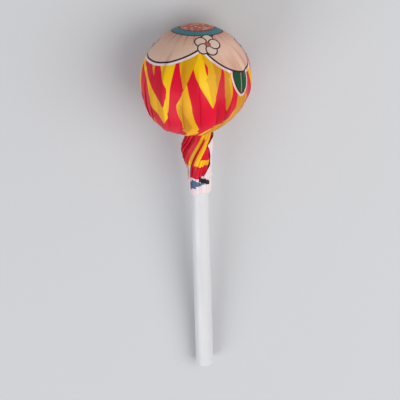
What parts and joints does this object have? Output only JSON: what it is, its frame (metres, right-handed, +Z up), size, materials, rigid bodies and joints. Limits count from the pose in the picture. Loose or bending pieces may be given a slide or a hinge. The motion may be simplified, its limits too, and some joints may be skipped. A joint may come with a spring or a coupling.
{
  "type": "lollipop",
  "caption": "Ball lollipop in a twisted printed film wrapper on a hollow white plastic stick, lying on its side.",
  "frame": {"origin": "on the small flat spot that the ball rests on, at floor level, straight under the ball's centre", "axes": "+Y points from the stick's free end towards the ball's tip, +Z up out of the side that the picture shows"},
  "size_m": [0.024, 0.0851, 0.0239],
  "materials": {
    "film": "satin gloss printed film, red and yellow spikes under a flower print",
    "stick_plastic": "smooth white, slightly translucent"
  },
  "bodies": {
    "root": {"wrapped_ball": "film", "stick": "stick_plastic"}
  },
  "joints": []
}
